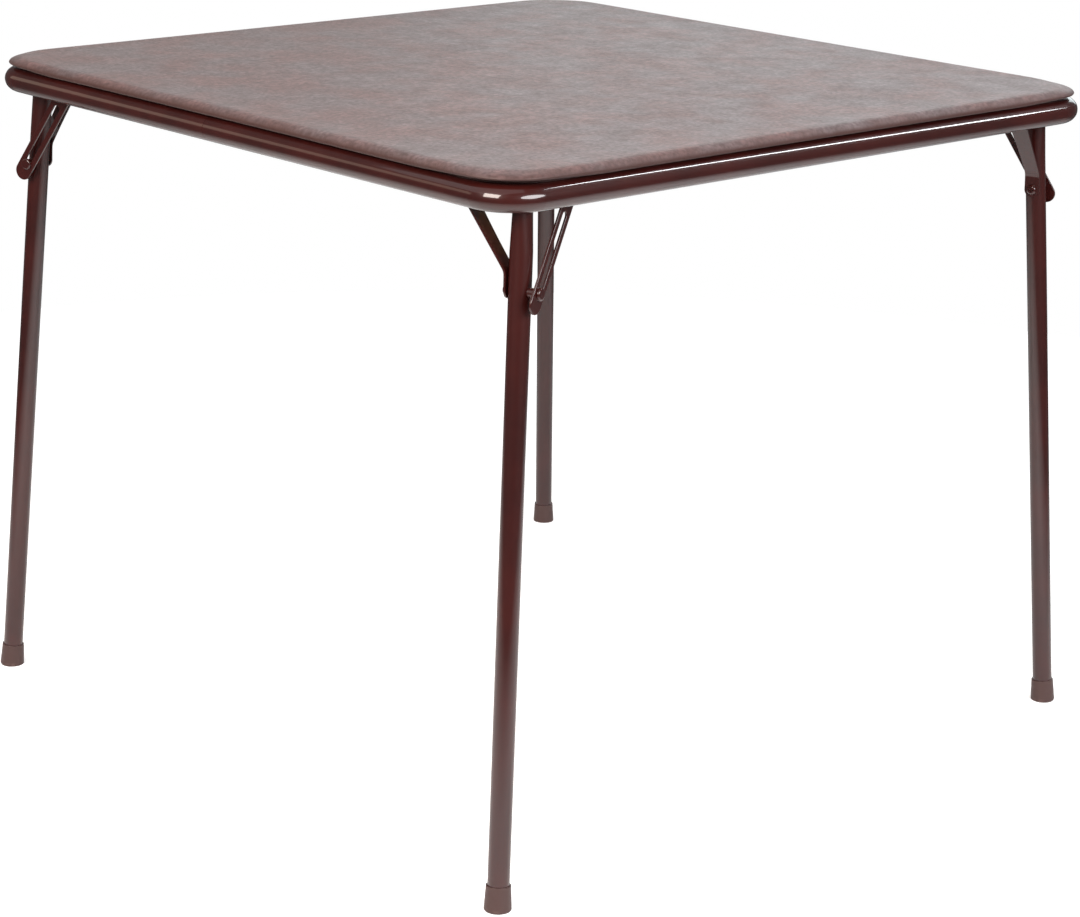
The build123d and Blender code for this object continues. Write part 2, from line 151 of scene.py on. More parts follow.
class Pattern:
    """Noise, blends and bumps on a piece's own coordinates, for one material."""

    def __init__(self, name: str) -> None:
        """Start an empty material of this name with its coordinates."""
        self.material = bpy.data.materials.new(name)
        self.material.use_nodes = True
        self.tree = self.material.node_tree
        self.tree.nodes.clear()
        self.coordinates = add_node(self.tree, "ShaderNodeTexCoord").outputs["Object"]

    def speckle(
        self, grain: float, detail: float = 3.0, stretch: tuple[float, float, float] = (1, 1, 1)
    ) -> bpy.types.NodeSocket:
        """Lay noise whose patches are as wide as a real grain.

        Args:
            grain: Width of a patch in metres.
            detail: Octaves of finer noise.
            stretch: Share of the frequency along each axis.

        Returns:
            The noise, about 0.5 in the mean.
        """
        placed = add_node(self.tree, "ShaderNodeMapping", {0: self.coordinates, "Scale": stretch})
        settings = {"Vector": placed.outputs[0], "Scale": 1 / grain, "Detail": detail}
        return add_node(self.tree, "ShaderNodeTexNoise", settings).outputs[0]

    def spread(self, value: bpy.types.NodeSocket, low: float, high: float) -> bpy.types.NodeSocket:
        """Stretch the values from low to high over 0 to 1."""
        settings = {0: value, 1: low, 2: high}
        return add_node(self.tree, "ShaderNodeMapRange", settings).outputs[0]

    def layer(self, kind: Layer) -> bpy.types.NodeSocket:
        """Lay a noise and stretch the values of it that count over 0 to 1."""
        speckle = self.speckle(kind.grain, kind.detail, kind.stretch)
        return self.spread(speckle, kind.low, kind.high)

    def height(self) -> bpy.types.NodeSocket:
        """Return the height above the floor."""
        return add_node(self.tree, "ShaderNodeSeparateXYZ", {0: self.coordinates}).outputs["Z"]

    def between(self, value: bpy.types.NodeSocket, low: float, high: float) -> bpy.types.NodeSocket:
        """Carry the values 0 to 1 to the span from low to high."""
        settings = {0: value, 3: low, 4: high}
        return add_node(self.tree, "ShaderNodeMapRange", settings).outputs[0]

    def blend(self, factor: object, first: object, second: object) -> bpy.types.NodeSocket:
        """Mix two colours.

        Args:
            factor: Share of the second colour, a number or a socket.
            first: Colour or socket.
            second: Colour or socket.

        Returns:
            The mixed colour.
        """
        settings = {0: factor, 6: first, 7: second}
        return add_node(self.tree, "ShaderNodeMix", settings, data_type="RGBA").outputs[2]

    def maths(self, how: str, first: object, second: object) -> bpy.types.NodeSocket:
        """Combine two values by an operation of the maths node."""
        return add_node(self.tree, "ShaderNodeMath", {0: first, 1: second}, operation=how).outputs[0]

    def relief(
        self, height: bpy.types.NodeSocket, depth: float, strength: float
    ) -> bpy.types.NodeSocket:
        """Turn a height pattern to a bumped normal.

        Args:
            height: Pattern from 0 to 1.
            depth: Depth of the real relief in metres.
            strength: Share of it that shows.

        Returns:
            The normal.
        """
        settings = {"Height": height, "Distance": depth, "Strength": strength}
        return add_node(self.tree, "ShaderNodeBump", settings).outputs[0]

    def finish(self, inputs: dict[str | int, object]) -> bpy.types.Material:
        """Close the material with a shader of these inputs."""
        shader = add_node(self.tree, "ShaderNodeBsdfPrincipled", inputs)
        add_node(self.tree, "ShaderNodeOutputMaterial", {0: shader.outputs[0]})
        return self.material


# In the finishes a relief is its depth in metres and the share of it that shows, and a roughness
# that is a pair goes from the first value to the second over its pattern


@dataclass(frozen=True)
class MottledVinyl:
    """Calendered vinyl printed to look like suede, with a matt embossed grain."""

    warm: str = "8a6b69"
    cool: str = "847678"
    shade: str = "41322f"
    # Colour of the rolled edge: partly the vinyl's own browner tone, partly painted shade of the
    # steep roll that gets less light than the top
    rolled: str = "41231e"
    patches: Layer = Layer(mm(80), 4.0, 0.40, 0.60)
    clouds: Layer = Layer(mm(30), 5.0, 0.35, 0.75)
    blotches: Layer = Layer(mm(9), 3.0, 0.32, 0.68)
    grains: Layer = Layer(mm(4.2), 4.0)
    cloud_share: float = 0.22
    blotch_share: float = 0.42
    grain_share: float = 0.62
    pore: float = mm(1.1)
    emboss: tuple[float, float] = (mm(0.16), 0.6)
    roughness: tuple[float, float] = (0.52, 0.66)
    roll_top: float = mm(706.0)
    roll_foot: float = mm(699.6)
    waver: float = mm(1.6)

    def material(self) -> bpy.types.Material:
        """Make soft mottling, a fine grain and a rolled edge painted darker, partly the vinyl's
        browner tone and partly painted shade.

        Returns:
            The material.
        """
        made = Pattern("suede_look_vinyl")
        patches = made.layer(self.patches)
        clouds = made.layer(self.clouds)
        blotches = made.layer(self.blotches)
        grains = made.layer(self.grains)
        colour = made.blend(patches, linear(self.warm), linear(self.cool))
        for pattern, share in (
            (clouds, self.cloud_share),
            (blotches, self.blotch_share),
            (grains, self.grain_share),
        ):
            colour = made.blend(made.between(pattern, 0.0, share), colour, linear(self.shade))
        uneven = made.maths("MULTIPLY", made.speckle(self.clouds.grain), self.waver)
        level = made.maths("SUBTRACT", made.height(), uneven)
        # Painted shade with the vinyl's browner tone: the colour darkens down the rolled edge by
        # height
        edge = made.spread(level, self.roll_top - self.waver / 2, self.roll_foot - self.waver / 2)
        pores = made.maths("ADD", made.speckle(self.pore, detail=2.0), grains)
        return made.finish(
            {
                "Base Color": made.blend(edge, colour, linear(self.rolled)),
                "Roughness": made.between(clouds, *self.roughness),
                "IOR": 1.5,
                "Sheen Weight": 0.12,
                "Sheen Roughness": 0.5,
                "Normal": made.relief(pores, *self.emboss),
            }
        )


@dataclass(frozen=True)
class GlossPowderCoat:
    """Dark maroon powder coat, baked on steel: glossy, with a faint orange peel."""

    colour: str = "3a120f"
    deep: str = "300e0c"
    clouds: Layer = Layer(mm(60))
    peel: float = mm(1.6)
    peel_relief: tuple[float, float] = (mm(0.02), 0.25)

    def material(self) -> bpy.types.Material:
        """Make an even colour under a clear gloss that is a little wavy.

        Returns:
            The material.
        """
        made = Pattern("maroon_powder_coat")
        waves = made.relief(made.speckle(self.peel, detail=1.0), *self.peel_relief)
        clouds = made.layer(self.clouds)
        return made.finish(
            {
                "Base Color": made.blend(clouds, linear(self.colour), linear(self.deep)),
                "Roughness": 0.36,
                "IOR": 1.5,
                "Specular IOR Level": 0.2,
                "Coat Weight": 1.0,
                "Coat Roughness": 0.05,
                "Coat IOR": 1.6,
                "Normal": waves,
                "Coat Normal": waves,
            }
        )


@dataclass(frozen=True)
class MouldedFootPlastic:
    """Brown polyethylene, injection moulded, with a fine satin texture."""

    colour: str = "4a3431"
    worn: str = "66504b"
    texture: float = mm(0.8)
    texture_relief: tuple[float, float] = (mm(0.04), 0.3)
    roughness: tuple[float, float] = (0.42, 0.55)
    scuffs: Layer = Layer(mm(7), 5.0, 0.5, 0.7)
    scuff_top: float = mm(5)

    def material(self) -> bpy.types.Material:
        """Make a satin brown that is paler where the foot rubs on the floor.

        Returns:
            The material.
        """
        made = Pattern("brown_moulded_plastic")
        scuffs = made.layer(self.scuffs)
        rubbed = made.maths("MULTIPLY", made.spread(made.height(), self.scuff_top, 0.0), scuffs)
        texture = made.speckle(self.texture, detail=2.0)
        return made.finish(
            {
                "Base Color": made.blend(rubbed, linear(self.colour), linear(self.worn)),
                "Roughness": made.between(scuffs, *self.roughness),
                "IOR": 1.51,
                "Normal": made.relief(texture, *self.texture_relief),
            }
        )


@dataclass(frozen=True)
class ScreenBackHardboard:
    """Tempered hardboard seen on its screen side, with the pressed mesh and stray fibres."""

    colour: str = "7c5b3f"
    fibre: str = "5d4129"
    pale: str = "93714f"
    fibres: Layer = Layer(mm(2.0), 6.0, 0.35, 0.7, (1.0, 0.35, 1.0))
    stains: Layer = Layer(mm(90))
    stain_share: float = 0.3
    mesh_pitch: float = mm(1.8)
    mesh_relief: tuple[float, float] = (mm(0.25), 0.5)

    def material(self) -> bpy.types.Material:
        """Make brown fibres under a crossed screen pattern.

        Returns:
            The material.
        """
        made = Pattern("hardboard_screen_side")
        fibres = made.layer(self.fibres)
        stains = made.between(made.layer(self.stains), 0.0, self.stain_share)
        colour = made.blend(fibres, linear(self.colour), linear(self.fibre))
        turn = 2 * math.pi / self.mesh_pitch / WAVE_RADIANS
        weave = []
        for direction in ("X", "Y"):
            settings = {"Vector": made.coordinates, "Scale": turn}
            wave = add_node(made.tree, "ShaderNodeTexWave", settings, bands_direction=direction)
            weave.append(wave.outputs[1])
        mesh = made.maths("ADD", made.maths("MULTIPLY", *weave), fibres)
        return made.finish(
            {
                "Base Color": made.blend(stains, colour, linear(self.pale)),
                "Roughness": 0.72,
                "IOR": 1.45,
                "Normal": made.relief(mesh, *self.mesh_relief),
            }
        )


@dataclass(frozen=True)
class PlatedSteel:
    """Steel with a thin plating or none: a grey metal with a cloudy, slightly streaked face."""

    name: str
    colour: str
    dull: str
    roughness: float
    rougher: float = 0.15
    streaks: Layer = Layer(mm(3), 4.0, 0.35, 0.7, (1.0, 0.4, 1.0))
    streak_relief: tuple[float, float] = (mm(0.02), 0.3)

    def material(self) -> bpy.types.Material:
        """Make a metal whose dull patches are a little rougher.

        Returns:
            The material.
        """
        made = Pattern(self.name)
        streaks = made.layer(self.streaks)
        return made.finish(
            {
                "Base Color": made.blend(streaks, linear(self.colour), linear(self.dull)),
                "Metallic": 1.0,
                "Roughness": made.between(streaks, self.roughness, self.roughness + self.rougher),
                "Normal": made.relief(streaks, *self.streak_relief),
            }
        )


@dataclass(frozen=True)
class OpenCellFoam:
    """Cut polyurethane foam, cream and porous."""

    colour: str = "dcd6c2"
    # Painted shade: a darker colour in the pores stands in for the shade inside the open cells
    pore_shade: str = "9c9684"
    pores: Layer = Layer(mm(1.2))
    pore_shade_share: float = 0.3
    pore_relief: tuple[float, float] = (mm(0.3), 0.6)

    def material(self) -> bpy.types.Material:
        """Make a cream colour with painted shade in its small pores.

        Returns:
            The material.
        """
        made = Pattern("open_cell_foam")
        pores = made.layer(self.pores)
        # Painted shade, strongest in the deepest pores
        pore_shade_mask = made.between(pores, self.pore_shade_share, 0.0)
        return made.finish(
            {
                "Base Color": made.blend(pore_shade_mask, linear(self.colour), linear(self.pore_shade)),
                "Roughness": 0.9,
                "Normal": made.relief(pores, *self.pore_relief),
            }
        )


@dataclass
class Wardrobe:
    """All finishes of the table, by the record's slots."""

    finishes: dict[Slot, bpy.types.Material] = field(default_factory=dict)

    def make(self) -> None:
        """Make every material once."""
        self.finishes = {
            Slot.VINYL: MottledVinyl().material(),
            Slot.FOAM: OpenCellFoam().material(),
            Slot.BOARD: ScreenBackHardboard().material(),
            Slot.ENAMEL: GlossPowderCoat().material(),
            Slot.STEEL: PlatedSteel("mill_finish_steel", "8d8c8b", "6c6a69", 0.38).material(),
            Slot.ZINC: PlatedSteel("zinc_plated_steel", "a5a29c", "7d7a75", 0.30).material(),
            Slot.FOOT: MouldedFootPlastic().material(),
        }

    def dress_nodes(self) -> None:
        """Give every node of the frame the material of its slot."""
        for part in frame["record"]["subparts"]:
            node = frame["nodes"][part["node"]]
            finish = self.finishes[Slot(part["material_slot"])]
            node.data.materials.clear()
            node.data.materials.append(finish)
            log.info("dressed %s in %s", part["node"], finish.name)

    def dress(self, piece: bpy.types.Object, slot: Slot, body: str) -> None:
        """Give a new piece the finish of its slot and the body that it rides on.

        Args:
            piece: The new piece.
            slot: Slot whose finish it gets.
            body: Name of the body.
        """
        piece.data.materials.clear()
        piece.data.materials.append(self.finishes[slot])
        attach(piece, body)
        log.info("made %s with %d faces", piece.name, len(piece.data.polygons))


def new_piece(name: str, shape: bmesh.types.BMesh, smooth: bool = True) -> bpy.types.Object:
    """Turn a finished shape to an object at the origin.

    Args:
        name: Name of the piece.
        shape: The shape, which is freed.
        smooth: Whether its faces are shaded smooth.

    Returns:
        The object, linked to the scene.
    """
    for face in shape.faces:
        face.smooth = smooth
    mesh = bpy.data.meshes.new(name)
    shape.to_mesh(mesh)
    shape.free()
    piece = bpy.data.objects.new(name, mesh)
    bpy.context.scene.collection.objects.link(piece)
    return piece


def to_corner(corner: int) -> Matrix:
    """Return the turn about the middle of the table that carries side or corner 0 to another."""
    return Matrix.Rotation(math.radians(360 / CORNERS * corner), 4, "Z")


@dataclass
class PaddedTop:
    """Padded top: vinyl drawn over foam and a board, rolled at the edge and stapled below."""

    # Outline and crown
    half: float = mm(424)
    base: float = HEM_HEIGHT
    top: float = mm(706)
    crown: float = mm(1.9)
    crown_border: float = mm(14)
    crown_run: float = mm(230)
    corner_radius: float = mm(56)
    corner_share: float = 0.15
    side_draw: float = mm(1.5)
    # Rolled edge, its foot and the underside that hangs over the frame tube
    roll_width: float = mm(13)
    roll_height: float = mm(5.2)
    roll_power: float = 2.15
    foot_round: float = mm(2.0)
    underside: float = mm(698.8)
    underside_run: float = mm(9.5)
    # Hem and board
    hem: float = mm(36)
    vinyl: float = mm(0.8)
    board_top: float = mm(699.6)
    board_gap: float = mm(13.6)
    # Rings of the shell
    flat_rings: int = 25
    roll_rings: int = 7
    foot_rings: int = 3
    underside_rings: int = 3
    hem_rings: int = 8
    # Cloth: where it starts, how far it may move and what holds it
    start_smaller: float = mm(0.5)
    cap: float = mm(0.6)
    frames: int = 20
    foam_inset: float = mm(30)
    hem_layer: float = mm(2)
    hem_end: float = mm(1)
    staple_pitch: float = STAPLE_PITCH
    staple_inset: float = mm(30)
    staple_grip: tuple[float, float] = (mm(8), mm(2))
    # Waves of the low edge, and its dip outside the frame tube's line
    wave: float = mm(0.9)
    wave_rest_share: float = 0.5
    wave_uneven_share: float = 0.8
    waves_per_metre: float = 18.0
    wave_fade: float = mm(3)
    overhang_line: float = TUBE_LINE
    overhang: float = mm(8)
    overhang_dip: float = mm(2.6)
    corner_reach: float = mm(60)

    def rings(self) -> list[tuple[float, float]]:
        """Work out the rings of the shell, from the middle of the top to the end of the hem.

        Returns:
            The inset from the outermost edge and the height of each ring.
        """
        middle = self.half - self.crown_border
        table = []
        for ring in range(self.flat_rings + 1):
            inset = self.half - middle * ring / self.flat_rings
            share = min(1.0, (inset - self.crown_border) / (self.crown_run - self.crown_border))
            table.append((inset, self.top + self.crown * share * share * (3 - 2 * share)))
        for ring in range(1, self.roll_rings + 1):
            angle = math.pi / 2 * ring / self.roll_rings
            inset = self.roll_width * (1 - math.sin(angle) ** (2 / self.roll_power))
            drop = self.roll_height * (1 - math.cos(angle) ** (2 / self.roll_power))
            table.append((inset, self.top - drop))
        for ring in range(self.foot_rings + 1):
            angle = math.pi / 2 * ring / self.foot_rings
            inset = self.foot_round * (1 - math.cos(angle))
            table.append((inset, self.underside + self.foot_round * (1 - math.sin(angle))))
        edge = self.underside_run
        for ring in range(1, self.underside_rings + 1):
            inset = self.foot_round + (edge - self.foot_round) * ring / self.underside_rings
            table.append((inset, self.underside))
        for ring in range(self.hem_rings + 1):
            table.append((edge + (self.hem - edge) * ring / self.hem_rings, self.base))
        return table

    def on_outline(self, inset: float, share: float) -> tuple[float, float]:
        """Find a place along one side of the rounded square.

        Args:
            inset: How far the outline lies inside the outermost edge.
            share: From -1 at the middle of one corner to 1 at the middle of the next.

        Returns:
            The place along the side and its distance from the middle of the top.
        """
        half = self.half - inset
        bend = self.corner_radius - self.corner_share * min(inset, self.crown_border)
        if inset > self.crown_border:
            bend *= half / (self.half - self.crown_border)
        straight = half - bend
        reach = abs(share) * (straight + math.pi / 4 * bend)
        if reach <= straight:
            along = reach
            out = half
            if straight > 0:
                out -= self.side_draw * (1 - (reach / straight) ** 2)
        else:
            angle = (reach - straight) / bend
            along = straight + bend * math.sin(angle)
            out = straight + bend * math.cos(angle)
        return math.copysign(along, share), out

    def shell(self) -> bmesh.types.BMesh:
        """Lay a square grid over the top, round the edge and under the board to the hem's end.

        Returns:
            The open shell.
        """
        table = self.rings()
        last = len(table) - 1
        shape = bmesh.new()
        bmesh.ops.create_grid(shape, x_segments=2 * last, y_segments=2 * last, size=1.0)
        for vert in shape.verts:
            across, up = vert.co.x, vert.co.y
            reach = max(abs(across), abs(up))
            ring = round(reach * last)
            inset, height = table[ring]
            if ring == 0:
                vert.co = (0, 0, height)
            elif abs(across) >= abs(up):
                along, out = self.on_outline(inset, up / reach)
                vert.co = (math.copysign(out, across), along, height)
            else:
                along, out = self.on_outline(inset, across / reach)
                vert.co = (along, math.copysign(out, up), height)
        bmesh.ops.recalc_face_normals(shape, faces=shape.faces)
        return shape

    def staple_reach(self, place: Vector) -> float:
        """Return how far a place along a side lies from the nearest staple."""
        along = min(abs(place.x), abs(place.y))
        return abs((along + self.staple_pitch / 2) % self.staple_pitch - self.staple_pitch / 2)

    def is_pinned(self, place: Vector) -> bool:
        """Tell whether the cloth is held here, by the foam, a staple or the hem's end.

        Args:
            place: Place of the cloth at rest.

        Returns:
            True where it is held.
        """
        inset = self.half - max(abs(place.x), abs(place.y))
        if place.z > self.base + self.hem_layer:
            return inset > self.foam_inset
        if inset > self.hem - self.hem_end:
            return True
        along, across = self.staple_grip
        return abs(inset - self.staple_inset) < across and self.staple_reach(place) < along

    def settle(self, piece: bpy.types.Object) -> None:
        """Blow the vinyl up against its staples, and keep what moved within the cap.

        Args:
            piece: The open shell, whose mesh gets the result.
        """
        rest = [vert.co.copy() for vert in piece.data.vertices]
        for vert in piece.data.vertices:
            if not self.is_pinned(vert.co):
                vert.co = vert.co - self.start_smaller * vert.normal
        group = piece.vertex_groups.new(name="held")
        held = [index for index, place in enumerate(rest) if self.is_pinned(place)]
        group.add(held, 1.0, "REPLACE")
        cloth = piece.modifiers.new("drawn_vinyl", "CLOTH")
        for name, value in VINYL_CLOTH.items():
            setattr(cloth.settings, name, value)
        cloth.settings.vertex_group_mass = group.name
        cloth.settings.effector_weights.gravity = 0
        cloth.collision_settings.use_collision = False
        scene = bpy.context.scene
        for step in range(1, self.frames + 1):
            scene.frame_set(step)
        depsgraph = bpy.context.evaluated_depsgraph_get()
        blown = piece.evaluated_get(depsgraph).to_mesh()
        moved = [vert.co.copy() for vert in blown.vertices]
        piece.evaluated_get(depsgraph).to_mesh_clear()
        piece.modifiers.remove(cloth)
        piece.vertex_groups.remove(group)
        scene.frame_set(1)
        largest = 0.0
        for vert, before, after in zip(piece.data.vertices, rest, moved):
            shift = after - before
            largest = max(largest, shift.length)
            if shift.length > self.cap:
                shift *= self.cap / shift.length
            vert.co = before + shift
        log.info("the vinyl moved by up to %.2f mm", largest / MILLIMETRE)

    def keep_inside(self, piece: bpy.types.Object) -> None:
        """Wave and dip the edge that overhangs the frame tube, and keep the hem above the frame.

        Args:
            piece: The open shell, whose mesh gets the result.
        """
        straight = self.half - self.corner_radius
        for vert in piece.data.vertices:
            place = vert.co
            inset = self.half - max(abs(place.x), abs(place.y))
            low = place.z < self.top - self.roll_height / 2
            if low and inset < self.foot_round:
                share = 1 - self.staple_reach(place) / (self.staple_pitch / 2)
                uneven = noise.noise(place * self.waves_per_metre)
                lift = self.wave * (self.wave_rest_share + share + self.wave_uneven_share * uneven)
                fade = min(1.0, (self.top - self.roll_height / 2 - place.z) / self.wave_fade)
                outer = max(0.0, 1 - inset / self.foot_round)
                vert.co.z += max(0.0, lift) * fade * outer
            vert.co.z = max(vert.co.z, self.base)
            over = (self.half - inset - self.overhang_line) / self.overhang
            along = (straight - min(abs(place.x), abs(place.y))) / self.corner_reach
            depth = (self.top - place.z) / (self.top - self.underside)
            if over > 0 and along > 0 and depth > 0:
                share = min(1.0, over) * min(1.0, along) * min(1.0, depth)
                vert.co.z -= self.overhang_dip * share
            vert.co.x = min(max(vert.co.x, -self.half), self.half)
            vert.co.y = min(max(vert.co.y, -self.half), self.half)

    def refine(self, piece: bpy.types.Object) -> None:
        """Subdivide the shell once and keep the result in its mesh.

        Args:
            piece: The open shell.
        """
        finer = piece.modifiers.new("finer", "SUBSURF")
        finer.levels = 1
        finer.render_levels = 1
        depsgraph = bpy.context.evaluated_depsgraph_get()
        smooth = bpy.data.meshes.new_from_object(piece.evaluated_get(depsgraph))
        piece.modifiers.remove(finer)
        piece.data = smooth

    def close(self, piece: bpy.types.Object) -> None:
        """Close the shell behind the hem, under the board's edge and over the board.

        Args:
            piece: The open shell, whose mesh gets the result.
        """
        shape = bmesh.new()
        shape.from_mesh(piece.data)
        rim = [edge for edge in shape.edges if edge.is_boundary]
        widen = (self.half - self.board_gap) / (self.half - self.hem)
        steps = (
            (Matrix.Identity(4), self.base + self.vinyl),
            (Matrix.Diagonal((widen, widen, 1, 1)), self.base + self.vinyl),
            (Matrix.Identity(4), self.board_top),
        )
        for change, height in steps:
            made = bmesh.ops.extrude_edge_only(shape, edges=rim)["geom"]
            rim = [item for item in made if isinstance(item, bmesh.types.BMEdge)]
            verts = [item for item in made if isinstance(item, bmesh.types.BMVert)]
            bmesh.ops.transform(shape, matrix=change, verts=verts)
            for vert in verts:
                vert.co.z = height
        bmesh.ops.contextual_create(shape, geom=rim)
        bmesh.ops.recalc_face_normals(shape, faces=shape.faces)
        for face in shape.faces:
            face.smooth = True
        shape.to_mesh(piece.data)
        shape.free()

    def build(self, wardrobe: Wardrobe) -> bpy.types.Object:
        """Make the padded top and put it in the place of the cover and the foam.

        Args:
            wardrobe: Finishes of the table.

        Returns:
            The padded top.
        """
        piece = new_piece("padded_top", self.shell())
        self.settle(piece)
        self.keep_inside(piece)
        self.refine(piece)
        self.close(piece)
        wardrobe.dress(piece, Slot.VINYL, "table_frame")
        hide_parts("vinyl_cover", "foam_pad")
        return piece


@dataclass
class HemStaples:
    """Wire staples that hold the vinyl's hem to the board, seen from below."""

    line: float = mm(394)
    base: float = HEM_HEIGHT
    crown: float = mm(10)
    wire_width: float = mm(1.2)
    wire_height: float = mm(0.6)
    pitch: float = STAPLE_PITCH
    reach: float = mm(283)
    clip_reach: float = mm(23)
    edge_share: float = 0.45
    sunk_share: float = 0.25
    stray_share: float = 0.1
    skew: float = 7.0
    seed: int = 11

    def staple(self, shape: bmesh.types.BMesh, place: Matrix) -> None:
        """Add one staple's crown, with its edges rounded.

        Args:
            shape: The shape that gets the staple.
            place: Its place and turn.
        """
        size = Matrix.Diagonal((self.crown, self.wire_width, self.wire_height, 1))
        made = bmesh.ops.create_cube(shape, size=1.0, matrix=place @ size)
        edges = list({edge for vert in made["verts"] for edge in vert.link_edges})
        bmesh.ops.bevel(
            shape,
            geom=edges,
            offset=self.wire_height * self.edge_share,
            affect="EDGES",
            segments=2,
            profile=0.5,
            material=-1,
        )

    def build(self, wardrobe: Wardrobe) -> bpy.types.Object:
        """Set the staples along all four sides, each a little askew.

        Args:
            wardrobe: Finishes of the table.

        Returns:
            The staples as one piece.
        """
        draw = random.Random(self.seed)
        shape = bmesh.new()
        count = int(self.reach // self.pitch)
        height = self.base - self.wire_height * self.sunk_share
        for side in range(CORNERS):
            for step in range(-count, count + 1):
                along = step * self.pitch
                if abs(along) < self.clip_reach:
                    continue
                along += draw.uniform(-self.stray_share, self.stray_share) * self.pitch
                out = self.line + draw.uniform(-1, 1) * self.wire_width
                turn = Matrix.Rotation(math.radians(draw.uniform(-self.skew, self.skew)), 4, "Z")
                spot = Matrix.Translation((along, -out, height))
                self.staple(shape, to_corner(side) @ spot @ turn)
        piece = new_piece("hem_staples", shape)
        wardrobe.dress(piece, Slot.ZINC, "table_frame")
        return piece


@dataclass
class WeldBeads:
    """Short welds that hold the corner brackets and the clips to the frame tube."""

    tube_radius: float = mm(12.7)
    tube_line: float = TUBE_LINE
    tube_height: float = mm(681.7)
    plate_bottom: float = mm(692.4)
    radius: float = mm(2.0)
    sides: int = 10
    ripple_pitch: float = mm(2.4)
    ripple: float = 0.12
    bracket_weld: tuple[float, float] = (mm(302), mm(328))
    clip_weld: tuple[float, float] = (mm(-11), mm(11))

    def bead(self, shape: bmesh.types.BMesh, start: float, end: float, place: Matrix) -> None:
        """Add one bead that runs along the tube's inner side from start to end.

        Args:
            shape: The shape that gets the bead.
            start: First place along the side.
            end: Last place along the side.
            place: Turn to the side that carries the bead.
        """
        rise = self.plate_bottom - self.tube_height
        out = self.tube_line - math.sqrt(self.tube_radius ** 2 - rise ** 2)
        seat = Vector((start, -out, self.plate_bottom))
        tip = bmesh.ops.create_circle(
            shape,
            cap_ends=True,
            segments=self.sides,
            radius=self.radius,
            matrix=place @ Matrix.Translation(seat) @ Matrix.Rotation(math.pi / 2, 4, "Y"),
        )["verts"]
        steps = round((end - start) / self.ripple_pitch) * 2
        along = place.to_3x3() @ Vector(((end - start) / steps, 0, 0))
        face = tip[0].link_faces[0]
        for step in range(steps):
            made = bmesh.ops.extrude_face_region(shape, geom=[face])["geom"]
            verts = [item for item in made if isinstance(item, bmesh.types.BMVert)]
            face = [item for item in made if isinstance(item, bmesh.types.BMFace)][0]
            centre = sum((vert.co for vert in verts), Vector()) / len(verts)
            swell = 1 + self.ripple if step % 2 == 0 else 1 / (1 + self.ripple)
            bmesh.ops.scale(
                shape,
                vec=(swell, swell, swell),
                space=Matrix.Translation(-centre),
                verts=verts,
            )
            bmesh.ops.translate(shape, vec=along, verts=verts)

    def build(self, wardrobe: Wardrobe) -> bpy.types.Object:
        """Set a bead on each side of every bracket and on every clip.

        Args:
            wardrobe: Finishes of the table.

        Returns:
            The beads as one piece.
        """
        shape = bmesh.new()
        for side in range(CORNERS):
            place = to_corner(side)
            first, last = self.bracket_weld
            self.bead(shape, -last, -first, place)
            self.bead(shape, first, last, place)
            self.bead(shape, *self.clip_weld, place)
        bmesh.ops.recalc_face_normals(shape, faces=shape.faces)
        piece = new_piece("weld_beads", shape)
        wardrobe.dress(piece, Slot.ENAMEL, "table_frame")
        return piece


class Outline(Enum):
    """Outlines of a softbox."""

    RECTANGLE = "RECTANGLE"
    ELLIPSE = "ELLIPSE"


@dataclass(frozen=True)
class Softbox:
    """Lamp that hangs at a place and faces a target: size in metres, power in watts and tint."""

    name: str
    place: tuple[float, float, float] | Vector
    target: tuple[float, float, float] | Vector
    size: tuple[float, float]
    power: float
    tint: tuple[float, float, float]
    outline: Outline = Outline.RECTANGLE
    reflected: bool = True

    def hang(self) -> None:
        """Make the lamp and put it in the scene."""
        data = bpy.data.lights.new(self.name, "AREA")
        data.shape = self.outline.value
        data.size, data.size_y = self.size
        data.energy = self.power
        data.color = self.tint
        lamp = bpy.data.objects.new(self.name, data)
        lamp.visible_glossy = self.reflected
        bpy.context.scene.collection.objects.link(lamp)
        way = Vector(self.target) - Vector(self.place)
        aim = way.to_track_quat("-Z", "Y").to_matrix().to_4x4()
        lamp.matrix_world = Matrix.Translation(self.place) @ aim


# Softboxes round the table: a narrow one and a panel beyond the right side, a dim brown panel
# and an unreflected fill beyond the left side, and a large one above
SOFTBOXES = (
    Softbox(
        name="strip_box",
        place=(1.56, -1.08, 2.0),
        target=(0, -0.2, 0.7),
        size=(0.12, 1.1),
        power=12,
        tint=(0.94, 0.97, 1.0),
    ),
    Softbox(
        name="back_panel",
        place=(2.35, 1.3, 1.35),
        target=(0, 0, 0.7),
        size=(2.2, 1.1),
        power=14,
        tint=(0.87, 0.97, 1.0),
    ),
    Softbox(
        name="side_panel",
        place=(-2.3, 2.5, 1.45),
        target=(-0.42, 0, 0.68),
        size=(2.4, 0.8),
        power=5,
        tint=(1.0, 0.75, 0.58),
    ),
    Softbox(
        name="left_fill",
        place=(-1.7, 1.4, 1.9),
        target=(-0.35, 0.3, 0.7),
        size=(1.4, 1.4),
        power=11,
        tint=(1.0, 0.93, 0.89),
        reflected=False,
    ),
    Softbox(
        name="top_box",
        place=(-1.4, 0.2, 3.2),
        target=(-0.5, -0.1, 0.7),
        size=(4.4, 4.4),
        power=30,
        tint=(1.0, 0.97, 0.97),
    ),
)


def seen_plainly(tree: bpy.types.NodeTree, path: bpy.types.Node) -> bpy.types.NodeSocket:
    """Tell the camera's own rays from the light on the object.

    Args:
        tree: Node tree of the floor or of the surroundings.
        path: Its light path node.

    Returns:
        One where the camera looks, straight or through glass, and zero elsewhere.
    """
    rays = {0: path.outputs["Is Camera Ray"], 1: path.outputs["Is Transmission Ray"]}
    return add_node(tree, "ShaderNodeMath", rays, operation="MAXIMUM").outputs[0]


